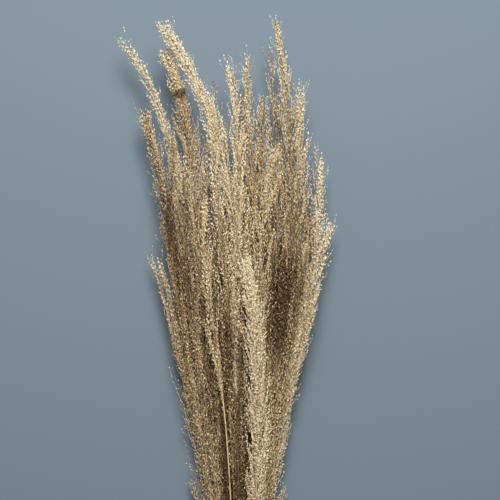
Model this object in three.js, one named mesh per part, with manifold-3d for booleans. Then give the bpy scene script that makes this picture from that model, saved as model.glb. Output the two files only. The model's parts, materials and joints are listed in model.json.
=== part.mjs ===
// Bundle of dried bent grass, laid down on a flat surface and tied with twine near its cut ends.
// Every stem is one solid: a thin culm that swells into the long feathery head (the panicle) at its tip.
// Millimetres. +Y runs from the cut ends to the tips, +Z is up, and the surface it lies on is at z = 0.
import * as THREE from "three";
import Module from "manifold-3d";
import { mergeVertices } from "three/addons/utils/BufferGeometryUtils.js";

const wasm = await Module();
wasm.setup();

// The whole bundle
const headReach = 620; // tie to the furthest tip
const tailLength = 100; // tie to the cut ends
const tailUneven = 10; // the cut ends differ by up to this much
const headWidth = 160; // width of the head where it is fullest
const headHeight = 94; // its height there, lying down
const sunk = 0.84; // the head's middle is this share of half its height up, because it spreads on the surface
const waistPlace = 410; // tie to the place where the head is fullest
const tailSpread = 17; // radius of the splayed cut ends

// Stems
const culmRadius = 1.0;
const panicleLength = 280; // of a full-grown stem
const panicleRadius = 10.5; // of a full panicle at its widest
const squeezed = 0.5; // share of its width that a panicle would keep at the tie
const fillStems = 36; // stems in the body of the bundle, besides the leaders
const stemSides = 6;
const tipLean = 1.25; // how far a tip leans on, as a share of the lean of the rings below it

// Twine
const twineDiameter = 2.4;
const twineTurns = 5;
const knotRadius = 3.4;
const twineEnd = 16; // length of each cut end of the twine, from the knot

// Clearances
const stemGap = 0.5; // between neighbouring stems
const tieGap = 0.35; // between the tie and the outermost stems

// Colours
const grassColours = [0xcbb68c, 0xbda578, 0xa88f66]; // pale, golden and brown straw
const twineColour = 0x9c7b4f;

// The stems that stand out from the body of the bundle. reach is the tip's distance from the tie, as a share
// of headReach. side is the tip's place across, and from is the place that the stem comes from at the fullest
// part, both as shares of half the head's width. rise is its height in the pile, from -1 under to 1 on top.
// girth and length are shares of a full panicle's. turn is 1 for a stem that leans evenly, and more for one
// that bends late. tone is its colour: 0 pale, 1 golden, 2 brown.
const leaders = [
  // left side, from the far left inwards
  { reach: 0.974, side: -1.52, from: -0.62, rise: 0.25, girth: 0.46, length: 0.9, turn: 6, tone: 1 },
  { reach: 1.0, side: -1.0, from: -0.12, rise: 0.8, girth: 0.68, length: 1.05, turn: 6, tone: 0 },
  { reach: 0.952, side: -0.96, from: -0.6, rise: 0.45, girth: 0.7, length: 1.0, turn: 8, tone: 2 },
  { reach: 0.855, side: -1.25, from: -0.85, rise: 0.1, girth: 0.8, length: 0.95, turn: 5.5, tone: 2 },
  { reach: 0.622, side: -1.22, from: -0.95, rise: -0.3, girth: 0.36, length: 0.6, turn: 3, tone: 1 },
  { reach: 0.617, side: -0.97, from: -0.97, rise: 0.2, girth: 0.36, length: 0.55, turn: 3, tone: 2 },
  // middle
  { reach: 0.905, side: -0.38, from: -0.38, rise: 0.0, girth: 0.6, length: 0.8, turn: 4, tone: 2 },
  { reach: 0.932, side: -0.11, from: -0.04, rise: 0.6, girth: 0.6, length: 1.0, turn: 5, tone: 0 },
  { reach: 0.945, side: 0.09, from: 0.06, rise: 0.3, girth: 0.58, length: 1.0, turn: 4, tone: 1 },
  { reach: 0.884, side: 0.35, from: 0.35, rise: -0.2, girth: 0.52, length: 0.7, turn: 5, tone: 1 },
  // right side
  { reach: 0.955, side: 0.38, from: 0.5, rise: 0.05, girth: 0.5, length: 0.9, turn: 6, tone: 2 },
  { reach: 1.0, side: 0.42, from: 0.7, rise: 0.6, girth: 0.85, length: 1.05, turn: 11, tone: 1 },
  { reach: 0.897, side: 0.76, from: 0.85, rise: 0.4, girth: 0.75, length: 0.95, turn: 5, tone: 0 },
  { reach: 0.805, side: 0.95, from: 0.9, rise: -0.4, girth: 0.55, length: 0.7, turn: 4, tone: 1 },
  { reach: 0.775, side: 1.06, from: 0.98, rise: 0.2, girth: 0.78, length: 0.85, turn: 6, tone: 0 },
  { reach: 0.675, side: 1.14, from: 1.0, rise: 0.05, girth: 0.9, length: 0.85, turn: 3, tone: 0 },
  // on top: right of the middle, one with a long bare culm, and left of the middle
  { reach: 0.622, side: 0.24, from: 0.85, rise: 0.9, girth: 1.3, length: 1.05, turn: 1.5, tone: 0 },
  { reach: 0.71, side: -0.44, from: -0.26, rise: 1.0, girth: 0.9, length: 0.6, turn: 4, tone: 1 },
  { reach: 0.84, side: -0.22, from: -0.2, rise: 0.9, girth: 1.0, length: 0.95, turn: 3, tone: 0 },
  // short ones, low on each side
  { reach: 0.25, side: -1.5, from: -1.2, rise: -0.4, girth: 0.4, length: 0.3, turn: 3, tone: 1 },
  { reach: 0.24, side: 1.32, from: 1.15, rise: -0.3, girth: 0.4, length: 0.28, turn: 3, tone: 1 },
];

// The stems in the body are in four families: one short, one middling and two long. reach is the shortest
// one's and spread is how much further the longest one goes.
const families = [
  { reach: 0.46, spread: 0.15, length: 0.76 },
  { reach: 0.72, spread: 0.14, length: 0.76 },
  { reach: 0.6, spread: 0.13, length: 0.72 },
  { reach: 0.78, spread: 0.12, length: 0.8 },
];

const goldenAngle = Math.PI * (3 - Math.sqrt(5));
const goldenShare = (Math.sqrt(5) - 1) / 2;
const share = (n) => (n * goldenShare) % 1; // an even spread of shares from 0 to 1
const mixed = (from, to, t) => from + (to - from) * t;

// The stems are packed round where they are tied, so their count sets the tie's size
const packing = 1.2;
const tieRadius = packing * (culmRadius + stemGap / 2) * Math.sqrt(leaders.length + fillStems);
const floorGap = 0.6; // under the tie
const tieHeight = tieRadius + tieGap + twineDiameter + floorGap;
const tieHalf = (twineTurns * twineDiameter) / 2;
const heldHalf = tieHalf + 4; // the stems run straight for this far on each side of the tie's middle

// Half the bundle's width or height, and the height of its middle, at a distance from where it is held
function halfSpan(fullSpan, out) {
  if (out < 0) return mixed(tieRadius, tailSpread, -out / tailLength);
  return mixed(tieRadius, fullSpan / 2, out / waistPlace);
}

function middleHeight(out) {
  if (out < 0) return mixed(tieHeight, tailSpread, -out / tailLength);
  return mixed(tieHeight, sunk * (headHeight / 2), Math.min(1, out / waistPlace) ** 0.9);
}

// Stations: the places along Y where every stem has a ring
const culmStep = 50;
const headStep = 38;
const headStart = 150;
const stations = [-tailLength + 1.5 * tailUneven, -heldHalf, heldHalf];
while (stations.at(-1) < headStart) stations.push(stations.at(-1) + culmStep);
while (stations.at(-1) < headReach) stations.push(stations.at(-1) + headStep);

// How full a panicle is, from its base at 0 to its tip at 1
function fullness(t) {
  return t <= 0 || t >= 1 ? 0 : 2.13 * t ** 0.5 * (1 - t) ** 0.6;
}

// Panicles are squeezed where the bundle is narrow
function radiusAt(plan, along) {
  const squeeze = mixed(squeezed, 1, Math.min(1, Math.max(0, along / waistPlace)) ** 1.6);
  return Math.max(culmRadius, squeeze * plan.girth * fullness((along - plan.tip + plan.head) / plan.head));
}

// The plan of every stem: its cut end, its tip, its panicle, and where it comes from and goes to
function planLeader(leader, n) {
  return {
    cut: -tailLength + tailUneven * share(n + 3),
    tip: leader.reach * headReach,
    head: leader.length * panicleLength,
    girth: leader.girth * panicleRadius,
    from: leader.from,
    rise: leader.rise,
    side: leader.side,
    turn: leader.turn,
    tone: leader.tone,
  };
}

function planFill(n) {
  const family = families[n % families.length];
  const out = Math.sqrt((n + 0.5) / fillStems);
  const around = n * goldenAngle + 0.6;
  const from = out * Math.cos(around);
  return {
    cut: -tailLength + tailUneven * share(n + 40),
    tip: headReach * (family.reach + family.spread * share(n + 1)),
    head: panicleLength * family.length * (0.9 + 0.2 * share(n + 7)),
    girth: panicleRadius * (0.85 + 0.3 * share(3 * n + 2)),
    from,
    rise: out * Math.sin(around),
    side: from,
    turn: 1,
    tone: n % grassColours.length,
  };
}

// Where a stem's middle would lie at a station, if nothing pushed it
function wishedPlace(plan, along) {
  const out = Math.sign(along) * Math.max(0, Math.abs(along) - heldHalf);
  const grown = Math.min(1, Math.max(0, out) / waistPlace);
  const room = grown * panicleRadius;
  const goneOut = Math.max(0, out / (plan.tip - heldHalf)) ** plan.turn;
  const across = plan.from * (halfSpan(headWidth, Math.min(out, waistPlace)) - room);
  const tipAcross = plan.side * (headWidth / 2) * Math.min(1, plan.tip / waistPlace);
  const atTip = Math.min(plan.tip - heldHalf, waistPlace);
  const fromAcross = plan.from * (halfSpan(headWidth, atTip) - panicleRadius);
  const droop = 0.12 * headHeight * Math.max(0, (out - waistPlace) / waistPlace);
  return {
    x: across + (plan.side === plan.from ? 0 : (tipAcross - fromAcross) * goneOut),
    z: middleHeight(out) + plan.rise * (halfSpan(headHeight, Math.min(out, waistPlace)) - room) - droop,
  };
}

// A ring's flat underside is this share of its radius below its middle
const flatShare = Math.cos(Math.PI / stemSides);

// Pushes two stems apart if they are too close at a share t of the way between two stations. Each stem is
// given by its rings there, and the slimmer one gives way more.
function part(one, two, t) {
  const at = (ends, key) => mixed(ends[0][key], ends[1][key], t);
  const dx = at(two, "x") - at(one, "x");
  const dz = at(two, "z") - at(one, "z");
  const apart = Math.hypot(dx, dz) || 1e-6;
  const wide = at(one, "r") + at(two, "r");
  const short = wide + stemGap - apart;
  if (short <= 0) return;
  const spread = short / apart / ((1 - t) ** 2 + t ** 2);
  const give = at(two, "r") / wide;
  for (const [ends, amount] of [[one, -spread * give], [two, spread * (1 - give)]]) {
    ends[0].x += amount * (1 - t) * dx;
    ends[0].z += amount * (1 - t) * dz;
    ends[1].x += amount * t * dx;
    ends[1].z += amount * t * dz;
  }
}

// Keeps a stem inside the tie, and straight through it
function hold(ring, next) {
  const x = (ring.x + next.x) / 2;
  const up = (ring.z + next.z) / 2 - tieHeight;
  const inwards = Math.min(1, (tieRadius - ring.r) / (Math.hypot(x, up) || 1));
  for (const held of [ring, next]) Object.assign(held, { x: x * inwards, z: tieHeight + up * inwards });
}

// Settles the stems: neighbours push apart, each stem stays smooth and near its own line, and none sinks
function settle(plans) {
  const stems = plans.map((plan) => {
    const reached = stations.filter((along) => along < plan.tip - 8);
    const rings = reached.map((along) => ({ along, r: radiusAt(plan, along), ...wishedPlace(plan, along) }));
    return { plan, rings, wish: rings.map(({ x, z }) => ({ x, z })) };
  });
  const rounds = 500;
  const steps = 3; // places tested from one station to the next
  for (let round = 0; round < rounds; round++) {
    const late = round / rounds;
    const pull = 0.02 * (1 - late);
    const stiffness = 0.3 * (1 - late * late);
    for (const { rings, wish } of stems) {
      for (const axis of ["x", "z"]) {
        const off = rings.map((ring, k) => ring[axis] - wish[k][axis]);
        for (let k = 1; k < rings.length; k++) {
          const next = off[k + 1] ?? 2 * off[k] - off[k - 1];
          rings[k][axis] += stiffness * ((off[k - 1] + next) / 2 - off[k]) - pull * off[k];
        }
      }
    }
    for (let k = 0; k < stations.length; k++) {
      const here = stems.filter(({ rings }) => rings.length > k);
      const ends = here.map(({ rings }) => [rings[k], rings[k + 1] ?? rings[k]]);
      for (let step = 0; step < steps; step++) {
        for (let a = 0; a < ends.length; a++) {
          for (let b = a + 1; b < ends.length; b++) part(ends[a], ends[b], step / steps);
        }
      }
      for (const [ring] of ends) ring.z = Math.max(ring.z, ring.r * flatShare);
    }
    for (const { rings } of stems) hold(rings[1], rings[2]);
  }
  return stems;
}

// The stem's line and its pointed tip, which leans on the way the last rings lean
function withTip({ plan, rings }) {
  const last = rings.at(-1);
  const before = rings.at(-2);
  const run = (plan.tip - last.along) / (last.along - before.along);
  const tip = { along: plan.tip, x: mixed(last.x, 2 * last.x - before.x, tipLean * run), z: last.z, r: 0 };
  return [...rings, tip];
}

function placeAt(line, along) {
  const k = line.findIndex((point) => point.along > along);
  if (k < 1) return null;
  const t = (along - line[k - 1].along) / (line[k].along - line[k - 1].along);
  return {
    x: mixed(line[k - 1].x, line[k].x, t),
    z: mixed(line[k - 1].z, line[k].z, t),
    r: mixed(line[k - 1].r, line[k].r, t),
    ends: [line[k - 1], line[k]],
  };
}

// Slims neighbours that still lie too close, at the stations and between them. A ring that lies on the
// surface comes down as it slims.
function slim(stems) {
  const resting = stems.flatMap(({ rings }) => rings.filter((ring) => ring.z < ring.r * flatShare + 0.3));
  const lines = stems.map(withTip);
  const rounds = 8;
  const tested = headStep / 16; // from one tested place to the next
  for (let round = 0; round < rounds; round++) {
    for (let along = stations[0]; along < headReach; along += tested) {
      const here = lines.map((line) => placeAt(line, along)).filter((place) => place);
      for (let a = 0; a < here.length; a++) {
        for (let b = a + 1; b < here.length; b++) {
          const free = Math.hypot(here[a].x - here[b].x, here[a].z - here[b].z) - stemGap;
          const wide = here[a].r + here[b].r;
          if (wide <= free) continue;
          const keep = Math.max(0.3, free / wide);
          for (const end of [...here[a].ends, ...here[b].ends]) end.r *= keep;
        }
      }
    }
    for (const ring of resting) ring.z = ring.r * flatShare;
  }
  return lines;
}

// One stem: a lathe-turned outline, bent to its own line
function stemMesh(line, { cut, tone }, n) {
  const outline = [new THREE.Vector2(0, cut), new THREE.Vector2(line[0].r, cut)];
  for (const point of line.slice(1)) outline.push(new THREE.Vector2(point.r, point.along));
  const stem = new THREE.LatheGeometry(outline, stemSides, Math.PI / stemSides);
  const place = stem.getAttribute("position");
  for (let v = 0; v < place.count; v++) {
    const along = place.getY(v);
    const at = line.find((point) => Math.abs(point.along - along) < 0.01) ?? line[0];
    place.setXYZ(v, place.getX(v) + at.x, along, Math.max(0, place.getZ(v) + at.z));
  }
  stem.computeVertexNormals();
  const straw = new THREE.MeshStandardMaterial({
    color: grassColours[tone],
    roughness: 0.85,
    metalness: 0,
  });
  const mesh = new THREE.Mesh(stem, straw);
  mesh.name = `stem_${String(n + 1).padStart(2, "0")}`;
  return mesh;
}

function solidOf(geometry) {
  geometry.deleteAttribute("normal");
  geometry.deleteAttribute("uv");
  const merged = mergeVertices(geometry, 1e-4);
  const vertProperties = new Float32Array(merged.getAttribute("position").array);
  const triVerts = new Uint32Array(merged.index.array);
  return new wasm.Manifold(new wasm.Mesh({ numProp: 3, vertProperties, triVerts }));
}

function geometryOf(solid) {
  const mesh = solid.getMesh();
  const geometry = new THREE.BufferGeometry();
  geometry.setAttribute("position", new THREE.BufferAttribute(new Float32Array(mesh.vertProperties), 3));
  geometry.setIndex(new THREE.BufferAttribute(new Uint32Array(mesh.triVerts), 1));
  return geometry;
}

// The twine's turns, laid side by side round the stems
function twineBand(inner) {
  const outline = [new THREE.Vector2(inner, -tieHalf)];
  const pointsPerTurn = 3;
  for (let n = 0; n < twineTurns * pointsPerTurn; n++) {
    const turned = (n + 0.5) / pointsPerTurn;
    const proud = 0.55 + 0.45 * Math.abs(Math.sin(Math.PI * turned));
    outline.push(new THREE.Vector2(inner + twineDiameter * proud, -tieHalf + turned * twineDiameter));
  }
  outline.push(new THREE.Vector2(inner, tieHalf), new THREE.Vector2(inner, -tieHalf));
  return new THREE.LatheGeometry(outline, 20);
}

// The twine with its knot on top and its two short cut ends
function twineTie(stems) {
  const outermost = Math.max(...stems.map(({ rings }) => Math.hypot(rings[1].x, rings[1].z - tieHeight)));
  const inner = outermost + culmRadius + tieGap;
  const knotHeight = inner + twineDiameter + 0.4 * knotRadius;
  let tie = solidOf(twineBand(inner));
  tie = tie.add(solidOf(new THREE.SphereGeometry(knotRadius, 10, 6).translate(0, 0, knotHeight)));
  for (const side of [-1, 1]) {
    const route = new THREE.CatmullRomCurve3([
      new THREE.Vector3(0, 0, knotHeight),
      new THREE.Vector3(side * twineEnd * 0.5, twineEnd * 0.35, knotHeight + 1.5),
      new THREE.Vector3(side * twineEnd * 0.85, twineEnd * 0.8, knotHeight - 1.5),
    ]);
    const section = new THREE.Shape().absarc(0, 0, twineDiameter / 2, 0, 2 * Math.PI);
    const strand = new THREE.ExtrudeGeometry(section, { steps: 5, extrudePath: route, curveSegments: 3 });
    tie = tie.add(solidOf(strand));
  }
  const mesh = new THREE.Mesh(
    geometryOf(tie).translate(0, 0, tieHeight),
    new THREE.MeshStandardMaterial({ color: twineColour, roughness: 0.95, metalness: 0 }),
  );
  mesh.name = "twine_tie";
  return mesh;
}

const fillPlans = Array.from({ length: fillStems }, (_, n) => planFill(n));
const stems = settle([...leaders.map(planLeader), ...fillPlans]);
const lines = slim(stems);

const bundle = new THREE.Group();
lines.forEach((line, n) => bundle.add(stemMesh(line, stems[n].plan, n)));
bundle.add(twineTie(stems));

// The origin is under the middle of the bundle's box, on the surface it lies on
const box = new THREE.Box3().setFromObject(bundle);
const centre = box.getCenter(new THREE.Vector3());
bundle.position.set(-centre.x, -centre.y, -box.min.z);

export default bundle;
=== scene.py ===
import json
import math
import random

import bmesh
import bpy
import numpy as np
from mathutils import Matrix, Vector


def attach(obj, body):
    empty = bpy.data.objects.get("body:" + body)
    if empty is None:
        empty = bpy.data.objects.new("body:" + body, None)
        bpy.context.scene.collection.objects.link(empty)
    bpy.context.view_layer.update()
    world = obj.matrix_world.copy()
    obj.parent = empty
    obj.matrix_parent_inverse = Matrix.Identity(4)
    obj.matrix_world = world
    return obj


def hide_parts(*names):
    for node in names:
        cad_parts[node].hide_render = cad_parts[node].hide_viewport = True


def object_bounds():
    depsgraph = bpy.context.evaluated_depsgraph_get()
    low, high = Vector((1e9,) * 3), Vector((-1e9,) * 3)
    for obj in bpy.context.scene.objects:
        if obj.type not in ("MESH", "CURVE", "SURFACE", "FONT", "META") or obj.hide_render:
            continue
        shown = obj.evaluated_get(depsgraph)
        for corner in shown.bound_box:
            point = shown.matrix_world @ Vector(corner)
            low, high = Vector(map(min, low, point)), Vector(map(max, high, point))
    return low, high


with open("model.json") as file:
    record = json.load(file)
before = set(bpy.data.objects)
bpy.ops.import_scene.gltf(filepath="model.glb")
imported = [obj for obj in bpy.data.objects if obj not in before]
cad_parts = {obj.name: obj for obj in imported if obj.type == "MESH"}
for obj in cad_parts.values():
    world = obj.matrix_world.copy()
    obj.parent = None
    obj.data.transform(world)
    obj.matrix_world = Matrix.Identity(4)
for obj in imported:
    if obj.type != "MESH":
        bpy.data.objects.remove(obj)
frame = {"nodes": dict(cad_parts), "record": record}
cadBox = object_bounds()
print("frame loaded:", len(frame["nodes"]), "nodes")

mm = 0.001
goldenAngle = math.pi * (3 - math.sqrt(5))
uvName = "OFBake"
mapEdge = 0.03  # nothing of a husk or thread lies nearer than this to the map's sides
mapJitter = 0.003  # sets the corners of a face apart on the map
seamEdge = 0.02  # a culm or ply keeps this far from the map's sides
endSpread = 0.004  # of the map, across the flat end of a culm, thread or ply


def mix(a, b, t):
    return a + (b - a) * t


def jitter(n):
    return mapJitter * (n % 3 - 1)


# Camera, floor and light: the bundle lies on the floor and the camera looks straight down on it
view = {
    "acrossFromMiddle": 23 * mm,  # picture centre from the middle of the bundle's box
    "belowTips": 230 * mm,  # and from the furthest tip, towards the cut ends
    "height": 1.75,  # camera above the floor
    "fieldHeight": 50 * mm,  # the height at which the picture is fieldWidth wide
    "fieldWidth": 500 * mm,
    "sensorWidth": 36,
    "farthest": 30,  # that it sees
    "floorSize": 9.0,
    "floorColour": (0.128, 0.163, 0.196, 1),
    "floorRoughness": 0.9,
    "floorSpecular": 0.15,
    "skyColour": (1.0, 0.96, 0.90, 1),
    "skyStrength": 0.10,
    "contrast": "Medium High Contrast",
}

lamps = {  # square panels; place: from the middle of the picture, on the floor
    "key": {"place": (0.07, 0.95, 1.7), "size": 0.8, "power": 67, "colour": (1.0, 0.97, 0.92)},
    "fill": {"place": (-0.9, -0.3, 1.9), "size": 1.4, "power": 3.5, "colour": (1.0, 0.96, 0.90)},
}


def addLamp(name, aim):
    lamp = bpy.data.lights.new(name, "AREA")
    lamp.shape = "SQUARE"
    lamp.size = lamps[name]["size"]
    lamp.energy = lamps[name]["power"]
    lamp.color = lamps[name]["colour"]
    lampObject = bpy.data.objects.new(name, lamp)
    lampObject.location = aim + Vector(lamps[name]["place"])
    lampObject.rotation_euler = (-Vector(lamps[name]["place"])).to_track_quat("-Z", "Y").to_euler()
    bpy.context.scene.collection.objects.link(lampObject)


def makeStage():
    low, high = cadBox
    aim = Vector(((low[0] + high[0]) / 2 + view["acrossFromMiddle"], high[1] - view["belowTips"], 0))
    cameraData = bpy.data.cameras.new("camera")
    cameraData.sensor_width = view["sensorWidth"]
    cameraData.lens = view["sensorWidth"] * (view["height"] - view["fieldHeight"]) / view["fieldWidth"]
    cameraData.clip_end = view["farthest"]
    camera = bpy.data.objects.new("camera", cameraData)
    camera.location = aim + Vector((0, 0, view["height"]))
    bpy.context.scene.collection.objects.link(camera)
    bpy.context.scene.camera = camera

    bm = bmesh.new()
    bmesh.ops.create_grid(bm, x_segments=1, y_segments=1, size=view["floorSize"] / 2)
    floorMesh = bpy.data.meshes.new("floor")
    bm.to_mesh(floorMesh)
    bm.free()
    floor = bpy.data.objects.new("floor", floorMesh)
    bpy.context.scene.collection.objects.link(floor)
    paper = bpy.data.materials.new("floorPaper")
    paper.use_nodes = True
    shader = paper.node_tree.nodes["Principled BSDF"]
    shader.inputs["Base Color"].default_value = view["floorColour"]
    shader.inputs["Roughness"].default_value = view["floorRoughness"]
    shader.inputs["Specular IOR Level"].default_value = view["floorSpecular"]
    floorMesh.materials.append(paper)

    for name in lamps:
        addLamp(name, aim)
    world = bpy.data.worlds.new("studio")
    world.use_nodes = True
    world.node_tree.nodes["Background"].inputs["Color"].default_value = view["skyColour"]
    world.node_tree.nodes["Background"].inputs["Strength"].default_value = view["skyStrength"]
    bpy.context.scene.world = world
    bpy.context.scene.view_settings.view_transform = "Standard"
    bpy.context.scene.view_settings.look = view["contrast"]
    print("camera, floor and light set")


makeStage()


# Materials: dry straw, drawn from the piece's own map. Across the map runs the tone, from brown to pale.
# Up the map run the husk from its base to its tip, then the threads, then the culm from its cut end up.
mapBands = {"husk": (0.04, 0.62), "thread": (0.66, 0.73), "culm": (0.78, 0.87), "paleCulm": (0.90, 0.99)}
culmsFrom = (mapBands["thread"][1] + mapBands["culm"][0]) / 2
paleCulmsFrom = (mapBands["culm"][1] + mapBands["paleCulm"][0]) / 2

strawTones = {
    "straw_pale": {
        "deep": (0.085, 0.047, 0.022, 1),
        "middle": (0.590, 0.462, 0.280, 1),
        "pale": (0.790, 0.705, 0.520, 1),
    },
    "straw_golden": {
        "deep": (0.070, 0.039, 0.018, 1),
        "middle": (0.510, 0.385, 0.220, 1),
        "pale": (0.750, 0.645, 0.455, 1),
    },
    "straw_brown": {
        "deep": (0.060, 0.033, 0.016, 1),
        "middle": (0.400, 0.285, 0.155, 1),
        "pale": (0.690, 0.580, 0.390, 1),
    },
}

fibreLooks = {
    "alongScale": 7.0,
    "detail": 3.0,
    "roughness": 0.6,
    "leastRoughness": 0.45,
    "roughnessSpread": 0.3,
    "bumpStrength": 0.5,
}

finishes = {
    "husk": {"fibreScale": 120.0, "fibreStrength": 0.25, "bumpDepth": 0.06 * mm, "specular": 0.22},
    "culm": {"fibreScale": 22.0, "fibreStrength": 0.5, "bumpDepth": 0.1 * mm, "specular": 0.45},
    "jute": {"fibreScale": 9.0, "fibreStrength": 0.9, "bumpDepth": 0.2 * mm, "specular": 0.2},
}

huskTones = {"evenAt": 0.45, "lift": 0.34}  # share of its length with the tone as given; from base to tip

culmTones = {
    "thread": -0.05,  # against the tone of its place on the map
    "cutEnd": 0.46,
    # painted shade: the culm's tone inside the head, where it lies deep among the branches
    "shadedInHead": 0.14,
    "pale": 0.54,  # of a pale culm, all along
    "headFrom": 0.2,  # share of the culm's length where it starts to darken
    "headWithin": 0.15,  # and how far on it is dark
    "joints": 3.5,
    "jointPhase": 0.3,  # share of the way from one joint to the next, at the cut end
    "jointSharpness": 260.0,
    "jointTone": -0.3,
}


def socket(group, name, kind, inOut, value=None):
    pin = group.interface.new_socket(name=name, in_out=inOut, socket_type=kind)
    if value is not None:
        pin.default_value = value


def addNode(tree, kind, **settings):
    node = tree.nodes.new(kind)
    for key, value in settings.items():
        setattr(node, key, value)
    return node


def link(tree, source, target):
    tree.links.new(source, target)


def mathNode(tree, operation, a, b=0.0, clamp=False):
    node = addNode(tree, "ShaderNodeMath", operation=operation, use_clamp=clamp)
    for value, pin in ((a, node.inputs[0]), (b, node.inputs[1])):
        if isinstance(value, (int, float)):
            pin.default_value = value
        else:
            link(tree, value, pin)
    return node.outputs[0]


def mixColour(tree, factor, a, b):
    node = addNode(tree, "ShaderNodeMix", data_type="RGBA")
    link(tree, factor, node.inputs[0])
    link(tree, a, node.inputs[6])
    link(tree, b, node.inputs[7])
    return node.outputs[2]


# Straw: tone picks the colour between deep, middle and pale, and fine fibres run along the growth
def makeStrawGroup():
    group = bpy.data.node_groups.new("dryStraw", "ShaderNodeTree")
    for name, kind, value in (
        ("Deep", "NodeSocketColor", (0.2, 0.13, 0.07, 1)),
        ("Middle", "NodeSocketColor", (0.5, 0.4, 0.25, 1)),
        ("Pale", "NodeSocketColor", (0.8, 0.7, 0.5, 1)),
        ("Tone", "NodeSocketFloat", 0.5),
        ("Along", "NodeSocketFloat", 0.5),
        ("Across", "NodeSocketFloat", 0.5),
        ("Fibre Scale", "NodeSocketFloat", 60.0),
        ("Fibre Strength", "NodeSocketFloat", 0.2),
    ):
        socket(group, name, kind, "INPUT", value)
    socket(group, "Colour", "NodeSocketColor", "OUTPUT")
    socket(group, "Roughness", "NodeSocketFloat", "OUTPUT")
    socket(group, "Height", "NodeSocketFloat", "OUTPUT")
    given = addNode(group, "NodeGroupInput")
    result = addNode(group, "NodeGroupOutput")

    place = addNode(group, "ShaderNodeCombineXYZ")
    acrossScaled = mathNode(group, "MULTIPLY", given.outputs["Across"], given.outputs["Fibre Scale"])
    alongScaled = mathNode(group, "MULTIPLY", given.outputs["Along"], fibreLooks["alongScale"])
    link(group, acrossScaled, place.inputs["X"])
    link(group, alongScaled, place.inputs["Y"])
    fibres = addNode(group, "ShaderNodeTexNoise")
    fibres.inputs["Scale"].default_value = 1.0
    fibres.inputs["Detail"].default_value = fibreLooks["detail"]
    fibres.inputs["Roughness"].default_value = fibreLooks["roughness"]
    link(group, place.outputs[0], fibres.inputs["Vector"])

    centred = mathNode(group, "SUBTRACT", fibres.outputs["Fac"], 0.5)
    spread = mathNode(group, "MULTIPLY", centred, given.outputs["Fibre Strength"])
    shifted = mathNode(group, "ADD", given.outputs["Tone"], spread)
    low = mathNode(group, "MULTIPLY", shifted, 2.0, clamp=True)
    high = mathNode(group, "SUBTRACT", mathNode(group, "MULTIPLY", shifted, 2.0), 1.0, clamp=True)
    warm = mixColour(group, low, given.outputs["Deep"], given.outputs["Middle"])
    link(group, mixColour(group, high, warm, given.outputs["Pale"]), result.inputs["Colour"])
    rougher = mathNode(group, "MULTIPLY", fibres.outputs["Fac"], fibreLooks["roughnessSpread"])
    rough = mathNode(group, "ADD", rougher, fibreLooks["leastRoughness"])
    link(group, rough, result.inputs["Roughness"])
    link(group, fibres.outputs["Fac"], result.inputs["Height"])
    return group


strawGroup = makeStrawGroup()


def strawMaterial(name, tones, finish, shade):
    material = bpy.data.materials.new(name)
    material.use_nodes = True
    tree = material.node_tree
    shader = tree.nodes["Principled BSDF"]
    ownMap = addNode(tree, "ShaderNodeUVMap", uv_map=uvName)
    split = addNode(tree, "ShaderNodeSeparateXYZ")
    link(tree, ownMap.outputs[0], split.inputs[0])
    straw = addNode(tree, "ShaderNodeGroup", node_tree=strawGroup)
    for key in ("deep", "middle", "pale"):
        straw.inputs[key.capitalize()].default_value = tones[key]
    straw.inputs["Fibre Scale"].default_value = finish["fibreScale"]
    straw.inputs["Fibre Strength"].default_value = finish["fibreStrength"]
    link(tree, shade(tree, split.outputs["X"], split.outputs["Y"]), straw.inputs["Tone"])
    link(tree, split.outputs["Y"], straw.inputs["Along"])
    link(tree, split.outputs["X"], straw.inputs["Across"])
    link(tree, straw.outputs["Colour"], shader.inputs["Base Color"])
    link(tree, straw.outputs["Roughness"], shader.inputs["Roughness"])
    bump = addNode(tree, "ShaderNodeBump")
    bump.inputs["Strength"].default_value = fibreLooks["bumpStrength"]
    bump.inputs["Distance"].default_value = finish["bumpDepth"]
    link(tree, straw.outputs["Height"], bump.inputs["Height"])
    link(tree, bump.outputs["Normal"], shader.inputs["Normal"])
    shader.inputs["Specular IOR Level"].default_value = finish["specular"]
    return material


# A husk is browner at its base and papery pale at its tip
def huskShade(tree, across, along):
    low, high = mapBands["husk"]
    share = mathNode(tree, "DIVIDE", mathNode(tree, "SUBTRACT", along, low), high - low, clamp=True)
    fromEven = mathNode(tree, "SUBTRACT", share, huskTones["evenAt"])
    lift = mathNode(tree, "MULTIPLY", fromEven, huskTones["lift"])
    return mathNode(tree, "ADD", across, lift)
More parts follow.
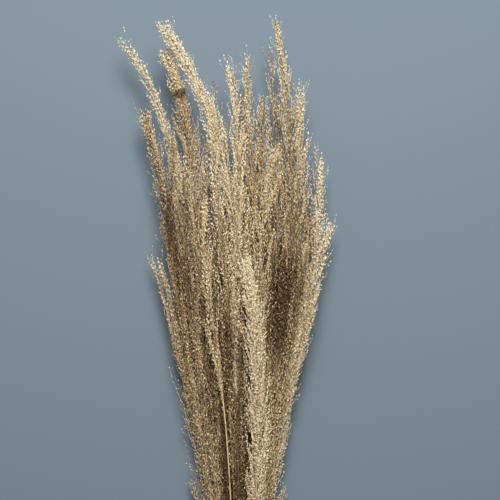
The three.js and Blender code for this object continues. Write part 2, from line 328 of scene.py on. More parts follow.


# A thread takes the tone of its place on the map. A culm is even below its head and darker inside it as
# painted shade, with a darker ring at each of its joints.
def culmShade(tree, across, along):
    low, high = mapBands["culm"]
    isCulm = mathNode(tree, "GREATER_THAN", along, culmsFrom)
    isPale = mathNode(tree, "GREATER_THAN", along, paleCulmsFrom)
    bottom = mathNode(tree, "ADD", low, mathNode(tree, "MULTIPLY", isPale, mapBands["paleCulm"][0] - low))
    share = mathNode(tree, "DIVIDE", mathNode(tree, "SUBTRACT", along, bottom), high - low)
    turned = mathNode(tree, "MULTIPLY", share, 2 * math.pi * culmTones["joints"])
    wave = mathNode(tree, "COSINE", mathNode(tree, "ADD", turned, 2 * math.pi * culmTones["jointPhase"]))
    swell = mathNode(tree, "MULTIPLY", mathNode(tree, "ADD", wave, 1.0), 0.5)
    ring = mathNode(tree, "POWER", swell, culmTones["jointSharpness"])
    past = mathNode(tree, "SUBTRACT", share, culmTones["headFrom"])
    inside = mathNode(tree, "DIVIDE", past, culmTones["headWithin"], clamp=True)
    darker = mathNode(tree, "MULTIPLY", inside, culmTones["cutEnd"] - culmTones["shadedInHead"])
    plain = mathNode(tree, "SUBTRACT", culmTones["cutEnd"], darker)
    paler = mathNode(tree, "MULTIPLY", isPale, mathNode(tree, "SUBTRACT", culmTones["pale"], plain))
    ringTone = mathNode(tree, "MULTIPLY", ring, culmTones["jointTone"])
    culmTone = mathNode(tree, "ADD", mathNode(tree, "ADD", plain, paler), ringTone)
    threadTone = mathNode(tree, "ADD", across, culmTones["thread"])
    isThread = mathNode(tree, "SUBTRACT", 1.0, isCulm)
    kept = mathNode(tree, "MULTIPLY", threadTone, isThread)
    return mathNode(tree, "ADD", kept, mathNode(tree, "MULTIPLY", culmTone, isCulm))


strawMaterials = {}
for slotName, tones in strawTones.items():
    husk = strawMaterial("husk_" + slotName[6:], tones, finishes["husk"], huskShade)
    culm = strawMaterial("culm_" + slotName[6:], tones, finishes["culm"], culmShade)
    strawMaterials[slotName] = (husk, culm)
print("straw materials made")


# The grass: each stem is one piece, a culm and a panicle of thread-fine branches strung with small husks
husks = {
    "length": 2.9 * mm,
    "width": 0.76 * mm,
    "thickness": 0.48 * mm,
    "opening": 0.30,  # radians between a pair
    "widest": 0.38,  # share of the husk's length
    "pairTone": 0.03,  # how much one of a pair is paler than the middle, and the other browner
    "pedicel": 1.1 * mm,
    "threadRadius": 0.10 * mm,
}

branches = {
    "lengths": (64 * mm, 46 * mm, 30 * mm, 17 * mm),
    "spacing": 1.9 * mm,  # along the thread from one spikelet to the next
    "thinSpacing": 3.4 * mm,  # on the thin branches below the panicle
    "variants": 3,
    "thinVariants": 4,
    "thinLength": 66 * mm,
    "jointSpacing": 11 * mm,  # where a thread may bend
    "taper": (1.6, 0.7),  # of the thread's radius, from its foot to its end
    "bareShare": 0.16,  # of the thread, before its first spikelet
    "singles": 0.4,  # share of spikelets with one husk
    "sessile": 0.5,  # share of spikelets that sit on the thread itself
    "loose": 0.12,  # share of spikelets on a long stalk
    "huskTone": 0.30,  # how unlike each other its spikelets are
    "seed": 11,
}

hairs = {  # each with one to three spikelets at its end
    "length": 12 * mm,
    "variants": 6,
    "huskTone": 0.08,
    "husksApart": 0.28,  # share of the hair's length
    "belowRoot": 6 * mm,
    "skirtShare": 0.9,  # of the skirt's radius
    "leastOut": 1 * mm,
    "mostOut": 10 * mm,
    "tone": (0.06, 0.12),  # middle and spread, against the panicle's
}

plume = {
    "branchesPerMm": 0.42,
    "branchLengths": (64 * mm, 17 * mm),  # at the panicle's base and at its tip
    "lowestEnd": 30 * mm,  # above the panicle's base, where its lowest branch ends
    "bow": 1.7,  # the more, the sooner a branch leaves the axis
    "waves": 1.3,  # that a branch sways through
    "fluff": 1.18,  # how far the husks reach past the solid
    "paintedDepthShade": 0.9,  # painted shade: how much darker the innermost branches are than the outermost, for the shade deep inside the plume
    "evenDepth": 0.7,  # share of the way out where they are neither
    "branchTone": 0.14,  # how unlike each other the branches are
    "stemTone": (0.52, 0.05),  # middle and spread
    "paleTip": 0.16,
    "sway": 1.8 * mm,
    "loosePerMm": 0.22,  # single spikelets on hairs that stand out of the plume
    "litHairTone": 0.55,  # at the least, for the single spikelets: painted light, as they stand out of the plume
    "skirtPerMm": 0.26,
    "skirtSway": 3.4 * mm,
    "skirtSpread": 0.15,
    "skirtStopsAboveTie": 80 * mm,
    "startsAt": 1.3,  # times the culm's radius, where the solid widens into the panicle
    "startShare": 0.35,  # of the way to the first ring that is so wide
    "roundTip": (2 * mm, 8 * mm),  # it closes this far past the tip, from this far below that
    "pressedBelow": 2.5 * mm,  # above the floor; what would sink is pressed flat
    "seed": 1000,
}

plainLooks = {
    "tone": -0.10,  # added to the plume's tone; partly the stem's own colour, partly painted shade on the inner stems in the gaps
    "shadedBase": 0.40,  # painted shade: how much darker the panicle is towards its base, where it lies deep in the bundle
    "density": 0.8,  # share of the usual branches
    "crowd": 1.1,  # above 1 the branches crowd towards the tip
    "wide": 1.0,  # share of the plume's usual width; wideBase, where it is given, holds at its base
    "blunt": 3.4 * mm,  # radius just below the tip
    "tipGap": 2 * mm,
    "culm": 1.0,  # share of the solid's radius
    "band": "culm",
    "skirt": 90 * mm,  # length of culm below the panicle with thin branches
    "skirtRadius": 8 * mm,
    "skirtTone": -0.22,
    "shadeAndPatches": (),  # lengths of the stem made darker or paler: mostly painted shade in the gaps between plumes, and a browner patch on stem_03: (middle, half length, change of tone)
}

stemLooks = {
    "stem_01": {"tone": 0.42, "density": 1.2, "wide": 1.25, "skirt": 250 * mm, "skirtTone": -0.1},
    "stem_02": {
        "tone": 0.42, "density": 1.9, "wide": 1.5, "crowd": 1.4, "skirt": 200 * mm, "tipGap": 6 * mm,
        "blunt": 4.5 * mm,
    },
    "stem_03": {
        "tone": 0.66, "density": 2.4, "wide": 2.0, "crowd": 1.6, "skirt": 250 * mm,
        "shadeAndPatches": ((0.286, 4.5 * mm, -0.8), (0.255, 30 * mm, -0.25)),
    },
    "stem_04": {
        "tone": 0.02, "density": 2.2, "wide": 1.7, "wideBase": 0.4, "crowd": 1.3, "shadedBase": 0.6,
        "skirt": 230 * mm, "skirtTone": 0.15,
    },
    "stem_05": {
        "tone": 0.30, "density": 0.8, "wide": 0.7, "skirt": 200 * mm, "skirtRadius": 15 * mm,
        "skirtTone": 0.0,
    },
    "stem_06": {
        "tone": 0.30, "density": 0.8, "wide": 0.8, "skirt": 190 * mm, "skirtRadius": 14 * mm,
        "skirtTone": -0.05,
    },
    "stem_07": {"tone": 0.12, "density": 0.45, "wide": 1.4, "skirt": 200 * mm},
    "stem_08": {
        "tone": 0.22, "density": 1.5, "wide": 1.7, "wideBase": 1.0, "skirt": 60 * mm,
        "shadeAndPatches": ((0.070, 45 * mm, -0.6),),
    },
    "stem_09": {
        "tone": 0.18, "density": 1.3, "wide": 1.5, "wideBase": 1.0, "skirt": 60 * mm,
        "shadeAndPatches": ((0.060, 60 * mm, -0.6),),
    },
    "stem_10": {"tone": 0.22, "density": 0.4, "wide": 1.8, "skirt": 150 * mm},
    "stem_11": {"tone": 0.40, "density": 0.4, "wide": 1.3, "skirt": 200 * mm},
    "stem_12": {
        "tone": 0.14, "density": 1.6, "wide": 1.25, "shadedBase": 0.5, "skirt": 200 * mm,
        "blunt": 1.6 * mm, "tipGap": 5 * mm, "shadeAndPatches": ((0.070, 50 * mm, -0.55),),
    },
    "stem_13": {
        "tone": 0.22, "density": 1.2, "wide": 1.25, "shadedBase": 0.5, "skirt": 200 * mm,
        "shadeAndPatches": ((0.070, 50 * mm, -0.55),),
    },
    "stem_14": {"tone": 0.22, "density": 0.5, "wide": 1.3, "skirt": 200 * mm},
    "stem_15": {
        "tone": 0.42, "density": 1.2, "wide": 1.2, "skirt": 250 * mm, "shadedBase": 0.2,
        "skirtTone": 0.0,
    },
    "stem_16": {
        "tone": 0.50, "density": 1.5, "wide": 1.15, "wideBase": 0.6, "skirt": 250 * mm,
        "shadedBase": 0.0, "skirtTone": 0.0,
    },
    "stem_17": {
        "tone": 0.48, "density": 2.8, "wide": 1.25, "crowd": 1.3, "blunt": 6 * mm, "skirt": 150 * mm,
        "shadedBase": 0.1, "skirtTone": 0.0,
    },
    "stem_18": {
        "tone": 0.34, "density": 1.0, "skirt": 0, "culm": 0.70, "band": "paleCulm", "shadedBase": 0.1,
    },
    "stem_19": {
        "tone": 0.20, "density": 1.2, "wide": 1.0, "wideBase": 0.75, "skirt": 100 * mm,
        "shadeAndPatches": ((0.010, 55 * mm, -0.5),),
    },
    # painted shade: the low, hidden stems below get tones far below zero so the gaps between the plumes look
    # dark
    "stem_22": {"tone": -0.60},
    "stem_23": {"tone": -0.35},
    "stem_24": {"tone": -0.40},
    "stem_25": {"tone": -0.16, "shadeAndPatches": ((0.080, 50 * mm, -0.5),)},
    "stem_26": {"tone": -0.30},
    "stem_28": {"tone": -0.35},
    "stem_30": {"tone": -0.40},
    "stem_31": {"tone": -0.20},
    "stem_33": {"tone": -0.10, "shadeAndPatches": ((0.060, 60 * mm, -0.5),)},
    "stem_34": {"tone": -0.30},
    "stem_35": {"tone": 0.0, "shadeAndPatches": ((0.080, 50 * mm, -0.5),)},
    "stem_36": {"tone": -0.05, "skirt": 200 * mm, "skirtRadius": 11 * mm, "skirtTone": 0.15},
    "stem_38": {"tone": -0.60, "shadedBase": 0.1},
    "stem_39": {"tone": 0.0, "skirtTone": 0.0},
    "stem_41": {"tone": 0.05, "skirt": 200 * mm, "shadeAndPatches": ((0.040, 60 * mm, -0.4),)},
    "stem_42": {"tone": -0.40},
    "stem_43": {"tone": 0.0, "shadeAndPatches": ((0.080, 45 * mm, -0.5),)},
    "stem_44": {"tone": 0.10, "skirt": 200 * mm, "skirtRadius": 11 * mm, "skirtTone": 0.0},
    "stem_45": {"tone": 0.0},
    "stem_46": {"tone": -0.70, "shadedBase": 0.1},
    "stem_48": {"tone": 0.05, "skirt": 200 * mm, "skirtTone": 0.15},
    "stem_49": {
        "tone": -0.22, "shadedBase": 0.2, "skirt": 250 * mm, "skirtTone": 0.1,
        "shadeAndPatches": ((0.130, 50 * mm, -0.45),),
    },
    "stem_51": {"tone": 0.58, "density": 1.6, "wide": 1.45, "shadedBase": 0.2},
    "stem_52": {
        "tone": 0.10, "density": 0.3, "wide": 0.35, "skirt": 240 * mm, "skirtRadius": 14 * mm,
        "skirtTone": 0.05,
    },
    "stem_53": {"tone": 0.05},
    "stem_54": {"tone": -0.40},
    "stem_56": {"tone": -0.25, "skirt": 200 * mm, "shadedBase": 0.1, "skirtTone": 0.2},
    "stem_57": {
        "tone": -0.08, "wideBase": 0.4, "skirtRadius": 6 * mm, "skirt": 250 * mm, "shadedBase": 0.2,
        "skirtTone": 0.2, "shadeAndPatches": ((0.160, 45 * mm, -0.4),),
    },
}

culmSize = {
    "sides": 7,
    "step": 12 * mm,
    "tipShare": 0.22,  # of its radius at the cut end
    "taper": 0.45,  # the less, the sooner it thins
    "wall": 0.35,  # share of its radius
    "hollow": 2.5 * mm,  # how deep the cut end is open
    "belowTip": 9 * mm,
}


def setMap(faces, uvLayer, places):
    for face in faces:
        for loop in face.loops:
            loop[uvLayer].uv = places[loop.vert]


# A closed husk: a slim three-sided spindle, widest below its middle
def addHusk(bm, uvLayer, turn, size, tone):
    verts = bmesh.ops.create_uvsphere(bm, u_segments=3, v_segments=2, radius=0.5)["verts"]
    low, high = mapBands["husk"]
    places = {}
    for n, vert in enumerate(verts):
        isPole = math.hypot(vert.co.x, vert.co.y) < 0.1
        along = vert.co.z + 0.5 if isPole else husks["widest"]
        places[vert] = (tone + jitter(n), mix(low, high, along))
        sideways, deep = vert.co.x * husks["width"], vert.co.y * husks["thickness"]
        vert.co = Vector((sideways, along * husks["length"], deep)) * size
    setMap({face for vert in verts for face in vert.link_faces}, uvLayer, places)
    bmesh.ops.transform(bm, matrix=turn, verts=verts)


# A thread from one point to another
def addThread(bm, uvLayer, start, end, radius, tone, farRadius=0.0):
    way = end - start
    turn = way.to_track_quat("Z", "X").to_matrix().to_4x4()
    verts = bmesh.ops.create_cone(
        bm, cap_ends=True, segments=3, radius1=radius, radius2=farRadius, depth=way.length,
        matrix=Matrix.Translation((start + end) / 2) @ turn,
    )["verts"]
    low, high = mapBands["thread"]
    places = {}
    for n, vert in enumerate(verts):
        share = (vert.co - start).length / way.length
        places[vert] = (tone + jitter(n), mix(low, high, share) + (endSpread / 2 if n % 3 == 1 else 0))
    faces = {face for vert in verts for face in vert.link_faces}
    setMap(faces, uvLayer, places)
    for face in faces:
        face.material_index = 1


def addSpikelet(bm, uvLayer, root, aim, stalk, tone, rng):
    foot = root + aim * stalk
    if stalk:
        addThread(bm, uvLayer, root, foot + aim * 0.4 * mm, husks["threadRadius"], tone)
    size = rng.uniform(0.8, 1.2)
    facing = aim.to_track_quat("Y", "Z").to_matrix().to_4x4()
    facing = facing @ Matrix.Rotation(rng.uniform(0, 2 * math.pi), 4, "Y")
    sides = (0,) if rng.random() < branches["singles"] else (-1, 1)
    for side in sides:
        opened = Matrix.Rotation(side * husks["opening"] / 2 * rng.uniform(0.5, 1.6), 4, "Z")
        turn = Matrix.Translation(foot) @ facing @ opened
        addHusk(bm, uvLayer, turn, size * rng.uniform(0.85, 1.05), tone + side * husks["pairTone"])


# A direction that leans away from +Y
def leaning(lean, around):
    return Vector((math.sin(lean) * math.cos(around), math.cos(lean), math.sin(lean) * math.sin(around)))


def meshFrom(bm, name):
    mesh = bpy.data.meshes.new(name)
    bm.to_mesh(mesh)
    bm.free()
    return mesh


# One branch: a straight thread along +Y, strung with spikelets
def makeBranch(length, rng, spacing):
    bm = bmesh.new()
    uvLayer = bm.loops.layers.uv.new(uvName)
    pieces = max(2, round(length / branches["jointSpacing"]))
    for n in range(pieces):
        start, end = (Vector((0, length * (n + extra) / pieces, 0)) for extra in (0, 1))
        radii = [husks["threadRadius"] * mix(*branches["taper"], (n + extra) / pieces) for extra in (0, 1)]
        addThread(bm, uvLayer, start, end, radii[0], 0, radii[1])
    count = round(length * (1 - branches["bareShare"]) / spacing)
    for n in range(count):
        t = mix(branches["bareShare"], 1, (n + rng.uniform(0, 0.8)) / count)
        around = n * goldenAngle + rng.uniform(-0.5, 0.5)
        lean = rng.uniform(0.1, 0.75)
        stalk = husks["pedicel"] * rng.uniform(0.5, 1.4)
        kind = rng.random()
        if kind < branches["sessile"]:
            stalk = 0
        elif kind > 1 - branches["loose"]:
            lean, stalk = rng.uniform(0.25, 0.7), husks["pedicel"] * rng.uniform(2, 3.6)
        if n == count - 1:
            t, lean = 1.0, 0.05
        tone = rng.gauss(0, branches["huskTone"])
        addSpikelet(bm, uvLayer, Vector((0, length * t, 0)), leaning(lean, around), stalk, tone, rng)
    return meshFrom(bm, "branch")


# A hair with one to three spikelets at its end
def makeHair(rng):
    bm = bmesh.new()
    uvLayer = bm.loops.layers.uv.new(uvName)
    end = Vector((0, hairs["length"], 0))
    addThread(bm, uvLayer, Vector(), end, husks["threadRadius"] * 0.8, 0, husks["threadRadius"] * 0.5)
    for n in range(rng.choice((1, 2, 2, 3))):
        aim = leaning(rng.uniform(0, 0.5), rng.uniform(0, 2 * math.pi))
        root = end * (1 - hairs["husksApart"] * n)
        stalk = husks["pedicel"] * rng.uniform(0.3, 1.6)
        addSpikelet(bm, uvLayer, root, aim, stalk, rng.gauss(0, hairs["huskTone"]), rng)
    return meshFrom(bm, "hair")


def makePatterns():
    rng = random.Random(branches["seed"])
    made = {}
    for length in branches["lengths"]:
        made[length] = [makeBranch(length, rng, branches["spacing"]) for n in range(branches["variants"])]
    made["hair"] = [makeHair(rng) for n in range(hairs["variants"])]
    thinLength, thinSpacing = branches["thinLength"], branches["thinSpacing"]
    made["thin"] = [makeBranch(thinLength, rng, thinSpacing) for n in range(branches["thinVariants"])]
    return made


patterns = makePatterns()
print("branch patterns made:", [len(kind[0].polygons) for kind in patterns.values()], "faces")


# The stem's line, from the CAD solid's rings: where its middle is and how wide it is along Y
def readStem(node):
    rings = {}
    for vert in frame["nodes"][node].data.vertices:
        rings.setdefault(round(vert.co.y, 5), []).append(vert.co)
    along, points = [], []
    for y in sorted(rings):
        xs = [co.x for co in rings[y]]
        zs = [co.z for co in rings[y]]
        along.append(y)
        points.append(((min(xs) + max(xs)) / 2, (min(zs) + max(zs)) / 2, (max(xs) - min(xs)) / 2))
    return np.array(along), np.array(points)


# Smooth values between the rings
def smoothAlong(along, values, wanted):
    slopes = np.gradient(values, along, axis=0)
    k = np.clip(np.searchsorted(along, wanted, side="right") - 1, 0, len(along) - 2)
    step = along[k + 1] - along[k]
    t = np.clip((wanted - along[k]) / step, 0, 1.5)[:, None]
    h00, h10 = 2 * t**3 - 3 * t**2 + 1, t**3 - 2 * t**2 + t
    h01, h11 = -2 * t**3 + 3 * t**2, t**3 - t**2
    leaving = h00 * values[k] + h10 * step[:, None] * slopes[k]
    return leaving + h01 * values[k + 1] + h11 * step[:, None] * slopes[k + 1]


# Bends a straight stem, drawn along Y with its middle on the axis, to its own line
def bendToLine(co, along, points):
    y = co[:, 1]
    inside = np.clip(y, along[0], along[-1])
    middle = smoothAlong(along, points[:, :2], inside)
    small = 1 * mm
    ahead = smoothAlong(along, points[:, :2], np.clip(inside + small, along[0], along[-1]))
    behind = smoothAlong(along, points[:, :2], np.clip(inside - small, along[0], along[-1]))
    slope = (ahead - behind) / (2 * small)
    forward = np.stack([slope[:, 0], np.ones(len(y)), slope[:, 1]], axis=1)
    forward /= np.linalg.norm(forward, axis=1)[:, None]
    side = np.stack([forward[:, 1], -forward[:, 0], np.zeros(len(y))], axis=1)
    side /= np.linalg.norm(side, axis=1)[:, None]
    up = np.cross(side, forward)
    past = (y - inside)[:, None]
    bent = np.stack([middle[:, 0], inside, middle[:, 1]], axis=1)
    bent += co[:, :1] * side + co[:, 2:] * up + past * forward
    low = plume["pressedBelow"]
    sunk = bent[:, 2] < low
    bent[sunk, 2] = low * np.exp((bent[sunk, 2] - low) / low)
    return bent


def addCulm(bm, uvLayer, start, end, base, radius, band):
    bmesh.ops.create_cone(
        bm, cap_ends=True, segments=culmSize["sides"], radius1=radius, radius2=radius, depth=end - start,
        matrix=Matrix.Translation((0, (start + end) / 2, 0)) @ Matrix.Rotation(-math.pi / 2, 4, "X"),
    )
    cutEnd = min(bm.faces, key=lambda face: face.calc_center_median().y)
    bmesh.ops.inset_region(bm, faces=[cutEnd], thickness=radius * culmSize["wall"], use_even_offset=True)
    bmesh.ops.translate(bm, vec=(0, culmSize["hollow"], 0), verts=cutEnd.verts)
    lengthwise = [edge for edge in bm.edges if edge.calc_length() > (end - start) / 2]
    steps = max(4, round((end - start) / culmSize["step"]))
    bmesh.ops.subdivide_edges(bm, edges=lengthwise, cuts=steps - 1, use_grid_fill=False)
    low, high = mapBands[band]
    for vert in bm.verts:
        shadedInHead = max(0, (vert.co.y - base) / (end - base))
        slim = mix(1, culmSize["tipShare"], shadedInHead ** culmSize["taper"])
        vert.co.x *= slim
        vert.co.z *= slim
    for face in bm.faces:
        face.material_index = 1
        centre = face.calc_center_median()
        faceAround = math.atan2(centre.x, centre.z) / (2 * math.pi) + 0.5
        for loop in face.loops:
            co = loop.vert.co
            around = math.atan2(co.x, co.z) / (2 * math.pi) + 0.5
            around += round(faceAround - around)
            spread = endSpread * co.x / radius if len(face.verts) > 4 else 0
            share = (co.y - start) / (end - start)
            loop[uvLayer].uv = (min(1 - seamEdge, max(seamEdge, around)), mix(low, high, share) + spread)


# The corners' places on the map: across, up, across, up and so on
def readMap(mesh):
    uv = np.empty(len(mesh.loops) * 2, np.float32)
    mesh.uv_layers[uvName].data.foreach_get("uv", uv)
    return uv


def keepOnMap(across):
    return np.clip(across, mapEdge, 1 - mapEdge) + jitter(np.arange(len(across)))


def readPlaces(mesh):
    co = np.empty(len(mesh.vertices) * 3, np.float32)
    mesh.vertices.foreach_get("co", co)
    return co.reshape(-1, 3).astype(float)


# Puts a copy of a pattern on the stem, still straight: it leaves the axis at root, bows out and runs on
def addCopy(bm, pattern, root, scale, out, around, sway, phase, tone):
    piece = pattern.copy()
    co = readPlaces(piece) * scale
    length = co[:, 1].max()
    share = np.clip(co[:, 1] / length, 0, 1)
    co[:, 2] += out * (1 - (1 - share) ** plume["bow"])
    co[:, 0] += sway * share * np.sin(2 * math.pi * (share * plume["waves"] + phase))
    co[:, 1] *= math.sqrt(max(0.2, 1 - (out / length) ** 2))  # its length stays about what it was
    turned = co.copy()
    turned[:, 0] = co[:, 0] * math.cos(around) + co[:, 2] * math.sin(around)
    turned[:, 2] = co[:, 2] * math.cos(around) - co[:, 0] * math.sin(around)
    turned[:, 1] += root
    piece.vertices.foreach_set("co", turned.astype(np.float32).ravel())
    uv = readMap(piece)
    uv[0::2] = keepOnMap(uv[0::2] + tone)
    piece.uv_layers[uvName].data.foreach_set("uv", uv)
    bm.from_mesh(piece)
    bpy.data.meshes.remove(piece)


# Changes the husks' tone along given lengths of a stem: mostly painted shade in the gaps between plumes,
# partly a browner patch
def shadeByPlace(mesh, along, shadeAndPatches):
    if not shadeAndPatches:
        return
    corner = np.empty(len(mesh.loops), np.int32)
    mesh.loops.foreach_get("vertex_index", corner)
    uv = readMap(mesh)
    isPlume = uv[1::2] < culmsFrom
    for middle, reach, change in shadeAndPatches:
        uv[0::2] += change * np.exp(-(((along[corner] - middle) / reach) ** 4)) * isPlume
    uv[0::2] = np.where(isPlume, keepOnMap(uv[0::2]), uv[0::2])
    mesh.uv_layers[uvName].data.foreach_set("uv", uv)


def addPanicle(bm, looks, rng, base, tip, plumeTone, radiusAt):
    reach = tip - base
    longest, shortest = plume["branchLengths"]
    count = round(reach / mm * plume["branchesPerMm"] * looks["density"])
    for n in range(count):
        u = (n + rng.uniform(0, 1)) / count  # 0 at the panicle's base, 1 at its tip
        end = tip - looks["tipGap"] - (reach - plume["lowestEnd"]) * (1 - u) ** looks["crowd"]
        depth = rng.uniform(0.03, 1.0) ** 0.55  # most branches end well out
        tone = plumeTone + rng.gauss(0, plume["branchTone"])
        # painted shade: branches deep inside the plume are darker, those far out paler
        tone += plume["paintedDepthShade"] * (depth - plume["evenDepth"])
        # painted shade: the panicle darkens towards its base, deep in the bundle
        tone += plume["paleTip"] * u**3 - looks["shadedBase"] * (1 - u) ** 1.5
        wanted = mix(longest, shortest, u) * rng.uniform(0.75, 1.2)
        nearest = min(branches["lengths"], key=lambda length: abs(length - wanted))
        pattern = patterns[nearest][rng.randrange(branches["variants"])]
        around = rng.uniform(0, 2 * math.pi)
        sway = plume["sway"] * rng.uniform(-1, 1)
        out = radiusAt(end) * depth
        addCopy(bm, pattern, end - wanted, wanted / nearest, out, around, sway, rng.random(), tone)


# Single spikelets on hairs, which stand out of the panicle and of the skirt below it
def addHairs(bm, looks, rng, base, tip, skirt, plumeTone, radiusAt):
    reach = tip - base
    for n in range(round((reach + skirt) / mm * plume["loosePerMm"] * min(1, looks["density"]))):
        root = base - skirt + (reach + skirt) * rng.uniform(0, 1) ** 0.8 - hairs["belowRoot"]
        wide = radiusAt(root) if root > base else hairs["skirtShare"] * looks["skirtRadius"]
        scale = rng.uniform(0.5, 1.2)
        out = min(hairs["mostOut"] * scale, wide * rng.uniform(0.5, 0.9) + hairs["leastOut"])
        hair = patterns["hair"][rng.randrange(hairs["variants"])].copy()
        hair.transform(Matrix.Translation((0, 0, wide * rng.uniform(0.3, 0.7))))
        around = rng.uniform(0, 2 * math.pi)
        # painted light: spikelets that stand out of the plume are kept pale
        tone = max(plumeTone, plume["litHairTone"]) + rng.gauss(*hairs["tone"])
        addCopy(bm, hair, root, scale, out, around, 0, 0, tone)
        bpy.data.meshes.remove(hair)


# Thin branches on the culm below the panicle
def addSkirt(bm, looks, rng, base, skirt, plumeTone):
    for n in range(round(skirt / mm * plume["skirtPerMm"])):
        out = looks["skirtRadius"] * rng.uniform(0.2, 1.0)
        pattern = patterns["thin"][rng.randrange(branches["thinVariants"])]
        root = base - skirt * rng.random()
        scale = rng.uniform(0.8, 1.2)
        around = rng.uniform(0, 2 * math.pi)
        sway = plume["skirtSway"] * rng.uniform(-1, 1)
        phase = rng.random()
        tone = plumeTone + looks["skirtTone"] + rng.gauss(0, plume["skirtSpread"])
        addCopy(bm, pattern, root, scale, out, around, sway, phase, tone)


def makeGrass(node, slotName, number, tieAt):
    rng = random.Random(plume["seed"] + number)
    looks = {**plainLooks, **stemLooks.get(node, {})}
    along, points = readStem(node)
    start, tip = along[0], along[-1]
    widths = points[:, 2]
    culmRadius = widths[0]
    first = next(k for k in range(2, len(widths)) if widths[k] > culmRadius * plume["startsAt"])
    base = mix(along[first - 1], along[first], plume["startShare"])
    past, closing = plume["roundTip"]

    def radiusAt(y):
        solid = float(np.interp(y, along, widths))
        wide = mix(looks.get("wideBase", looks["wide"]), looks["wide"], (y - base) / (tip - base))
        blunt = looks["blunt"] * min(1, max(0, tip + past - y) / closing) ** 0.5
        return max(solid, min(blunt, float(widths.max()))) * plume["fluff"] * wide

    bm = bmesh.new()
    uvLayer = bm.loops.layers.uv.new(uvName)
    addCulm(bm, uvLayer, start, tip - culmSize["belowTip"], base, culmRadius * looks["culm"], looks["band"])
    plumeTone = rng.gauss(*plume["stemTone"]) + looks["tone"]
    skirt = max(0, min(looks["skirt"], base - tieAt - plume["skirtStopsAboveTie"]))
    addPanicle(bm, looks, rng, base, tip, plumeTone, radiusAt)
    addHairs(bm, looks, rng, base, tip, skirt, plumeTone, radiusAt)
    addSkirt(bm, looks, rng, base, skirt, plumeTone)

    mesh = meshFrom(bm, "grass_" + node[-2:])
    straight = readPlaces(mesh)
    shadeByPlace(mesh, straight[:, 1], looks["shadeAndPatches"])
    bent = bendToLine(straight, along, points)
    mesh.vertices.foreach_set("co", bent.astype(np.float32).ravel())
    mesh.polygons.foreach_set("use_smooth", np.ones(len(mesh.polygons), bool))
    mesh.update()
    for material in strawMaterials[slotName]:
        mesh.materials.append(material)
    grass = bpy.data.objects.new(mesh.name, mesh)
    bpy.context.scene.collection.objects.link(grass)
    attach(grass, "root")
    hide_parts(node)
    return grass


slotOfNode = {part["node"]: part["material_slot"] for part in frame["record"]["subparts"]}
tieVerts = [vert.co for vert in frame["nodes"]["twine_tie"].data.vertices]
tieAt = sum(co.y for co in tieVerts) / len(tieVerts)
stemNodes = sorted(name for name in frame["nodes"] if name.startswith("stem_"))
total = 0
for number, node in enumerate(stemNodes):
    grass = makeGrass(node, slotOfNode[node], number, tieAt)
    total += sum(len(face.vertices) - 2 for face in grass.data.polygons)
print("grass made:", len(stemNodes), "stems,", total, "triangles")
for kind in patterns.values():
    for pattern in kind:
        bpy.data.meshes.remove(pattern)


# The twine: a laid strand of three plies, wound five times round the culms and knotted on top
twine = {
    "turns": 5,
    "lastTurn": 0.45,  # share of it that is wound before the strand goes under the knot
    "strandRadius": 1.2 * mm,
    "plies": 3,
    "plyShare": 0.54,  # of the strand's radius
    "plySides": 6,
    "lay": 7.5 * mm,  # along the strand for one twist of its plies
    "stepsPerLay": 10,
    "offCulms": 0.04,  # share of the strand's radius
    "knotSize": 1.25 * mm,
    "knotLift": 1.6,  # knot sizes from the top of the coil to the knot's middle
    "knotDepth": 1.1,  # and how far its strand rises and falls
    "tail": (  # mm from the knot's middle: across, along the bundle and up
        (0, 0, 0), (2.4, 0.8, 0.9), (5.5, 2.6, 1.3), (8.5, 6.0, 0.6), (11.5, 10.5, -1.2), (13.4, 13.2, -2.2),
    ),
    "tails": ((-1, 1.0), (1, 0.92)),  # the side each lies on, and its length against the points above
    "coilPoints": 400,
    "knotPoints": 90,
    "tailPoints": 40,
    "coilFibres": 156,
    "knotFibres": 26,
    "tailFibres": 39,
    "fibreLength": (2.0 * mm, 5.5 * mm),
    "fibreRadius": 0.05 * mm,
    "fibreRoot": 0.8,  # share of the strand's radius
    "fibreLean": 1.4,
    "fibreTone": 0.5,
    "aboveFloor": 0.2 * mm,
    "seed": 5,
}

juteTones = {
    "deep": (0.130, 0.072, 0.032, 1),
    "middle": (0.330, 0.210, 0.105, 1),
    "pale": (0.560, 0.410, 0.240, 1),
    "shadedGrooves": 0.32,  # painted shade: tone in the grooves between the plies
    "spread": 0.3,
}


# painted shade: each ply is darker where it turns into the grooves and paler on its crown
def juteShade(tree, across, along):
    return mathNode(tree, "ADD", juteTones["shadedGrooves"], mathNode(tree, "MULTIPLY", across, juteTones["spread"]))


def closeEnd(bm, ring):
    near = {edge for vert in ring for edge in vert.link_edges}
    rim = [edge for edge in near if set(edge.verts) <= set(ring)]
    bmesh.ops.contextual_create(bm, geom=rim)


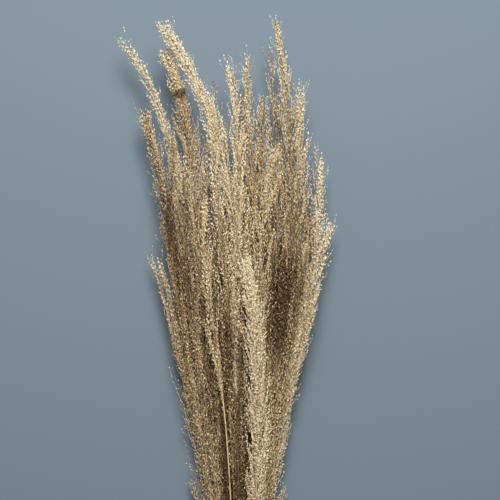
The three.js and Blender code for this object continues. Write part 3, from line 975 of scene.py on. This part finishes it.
# Straight strand along +Y, its plies twisted round each other by a screw spin
def addStrand(bm, uvLayer, length):
    turns = length / twine["lay"]
    steps = max(6, round(turns * twine["stepsPerLay"]))
    plyRadius = twine["strandRadius"] * twine["plyShare"]
    offset = twine["strandRadius"] - plyRadius
    for ply in range(twine["plies"]):
        before = set(bm.faces)
        plyAngle = 2 * math.pi * ply / twine["plies"]
        place = Matrix.Rotation(plyAngle, 4, "Y") @ Matrix.Translation((offset, 0, 0))
        start = bmesh.ops.create_circle(
            bm, cap_ends=False, segments=twine["plySides"], radius=plyRadius,
            matrix=place @ Matrix.Rotation(math.pi / 2, 4, "X"),
        )["verts"]
        edges = list({edge for vert in start for edge in vert.link_edges})
        made = bmesh.ops.spin(
            bm, geom=start + edges, cent=(0, 0, 0), axis=(0, 1, 0), dvec=(0, length / steps, 0),
            angle=2 * math.pi * turns, steps=steps, use_duplicate=False,
        )
        closeEnd(bm, start)
        closeEnd(bm, [item for item in made["geom_last"] if isinstance(item, bmesh.types.BMVert)])
        for face in set(bm.faces) - before:
            for loop in face.loops:
                co = loop.vert.co
                angle = 2 * math.pi * co.y / twine["lay"] + plyAngle
                centre = Vector((offset * math.cos(angle), 0, -offset * math.sin(angle)))
                away = Vector((co.x, 0, co.z)) - centre
                around = (math.atan2(away.z, away.x) + angle) / (2 * math.pi) % 1
                spread = endSpread * away.x / plyRadius if len(face.verts) > 4 else 0
                across = mix(seamEdge, 1 - seamEdge, abs(2 * around - 1))
                loop[uvLayer].uv = (across, mix(seamEdge, 1 - seamEdge, co.y / length) + spread)


def addFibres(bm, uvLayer, length, count, rng):
    for n in range(count):
        angle = rng.uniform(0, 2 * math.pi)
        lean = rng.uniform(-twine["fibreLean"], twine["fibreLean"])
        out = Vector((math.cos(angle), lean, math.sin(angle))).normalized()
        root = Vector((math.cos(angle), 0, math.sin(angle))) * twine["strandRadius"] * twine["fibreRoot"]
        root.y = length * rng.random()
        far = root + out * rng.uniform(*twine["fibreLength"])
        addThread(bm, uvLayer, root, far, twine["fibreRadius"], twine["fibreTone"])


# Bends what is drawn along +Y to a line of points
def bendAlong(mesh, line):
    line = np.array(line)
    steps = np.linalg.norm(np.diff(line, axis=0), axis=1)
    reached = np.concatenate([[0], np.cumsum(steps)])
    forward = np.gradient(line, reached, axis=0)
    forward /= np.linalg.norm(forward, axis=1)[:, None]
    side = np.zeros_like(forward)  # carried along the line without a twist
    side[0] = np.cross(forward[0], (0.3, 0.2, 1))  # any direction that no line starts along
    for n in range(len(line)):
        held = side[max(0, n - 1)]
        held = held - forward[n] * held.dot(forward[n])
        side[n] = held / np.linalg.norm(held)
    up = np.cross(side, forward)
    co = readPlaces(mesh)
    at = np.clip(co[:, 1], 0, reached[-1])

    def along(values):
        return np.stack([np.interp(at, reached, values[:, k]) for k in range(3)], axis=1)

    past = (co[:, 1] - at)[:, None]
    bent = along(line) + co[:, :1] * along(side) + co[:, 2:] * along(up) + past * along(forward)
    bent[:, 2] = np.maximum(bent[:, 2], twine["aboveFloor"])
    mesh.vertices.foreach_set("co", bent.astype(np.float32).ravel())


def lineLength(line):
    return float(np.linalg.norm(np.diff(np.array(line), axis=0), axis=1).sum())


# The strand's four lines, from the CAD solid's own place and bore: coil, knot and two tails
def twineLines():
    verts = [vert.co for vert in frame["nodes"]["twine_tie"].data.vertices]
    edge = min(co.y for co in verts)
    rim = [co for co in verts if co.y < edge + 0.05 * mm]
    middleX = (min(co.x for co in rim) + max(co.x for co in rim)) / 2
    middleZ = (min(co.z for co in rim) + max(co.z for co in rim)) / 2
    inner = min(math.hypot(co.x - middleX, co.z - middleZ) for co in rim)
    radius = inner + twine["strandRadius"] * (1 + twine["offCulms"])
    pitch = twine["strandRadius"] * 2
    fullTurns = twine["turns"] - 1
    coil = []
    for turn in np.linspace(0, fullTurns + twine["lastTurn"], twine["coilPoints"]):
        angle = 2 * math.pi * turn
        y = edge + pitch / 2 + pitch * turn
        coil.append((middleX + radius * math.sin(angle), y, middleZ + radius * math.cos(angle)))

    size = twine["knotSize"]
    top = middleZ + inner + pitch
    centre = Vector((middleX, edge + pitch / 2 + pitch * fullTurns / 2, top + twine["knotLift"] * size))
    knot = []
    for t in np.linspace(0, 2 * math.pi, twine["knotPoints"]):
        across = math.sin(t) + 2 * math.sin(2 * t)
        along = math.cos(t) - 2 * math.cos(2 * t)
        knot.append(tuple(centre + size * Vector((across, along, -twine["knotDepth"] * math.sin(3 * t)))))

    tails = []
    for side, share in twine["tails"]:
        points = [centre + mm * Vector((side * x * share, y * share, z)) for x, y, z in twine["tail"]]
        places = np.linspace(0, len(points) - 1, twine["tailPoints"])
        tails.append(smoothAlong(np.arange(len(points), dtype=float), np.array(points), places))
    return coil, knot, *tails


def makeTwine():
    rng = random.Random(twine["seed"])
    fibres = (twine["coilFibres"], twine["knotFibres"], twine["tailFibres"], twine["tailFibres"])
    bm = bmesh.new()
    bm.loops.layers.uv.new(uvName)
    for line, count in zip(twineLines(), fibres):
        length = lineLength(line)
        straight = bmesh.new()
        uvLayer = straight.loops.layers.uv.new(uvName)
        addStrand(straight, uvLayer, length)
        addFibres(straight, uvLayer, length, count, rng)
        strand = meshFrom(straight, "strand")
        bendAlong(strand, line)
        bm.from_mesh(strand)
        bpy.data.meshes.remove(strand)
    for face in bm.faces:
        face.material_index = 0
    bmesh.ops.recalc_face_normals(bm, faces=bm.faces)
    mesh = meshFrom(bm, "twine")
    mesh.polygons.foreach_set("use_smooth", np.ones(len(mesh.polygons), bool))
    mesh.materials.append(strawMaterial("juteTwine", juteTones, finishes["jute"], juteShade))
    tie = bpy.data.objects.new("twine", mesh)
    bpy.context.scene.collection.objects.link(tie)
    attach(tie, "root")
    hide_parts("twine_tie")
    print("twine made:", len(mesh.polygons), "faces")


makeTwine()
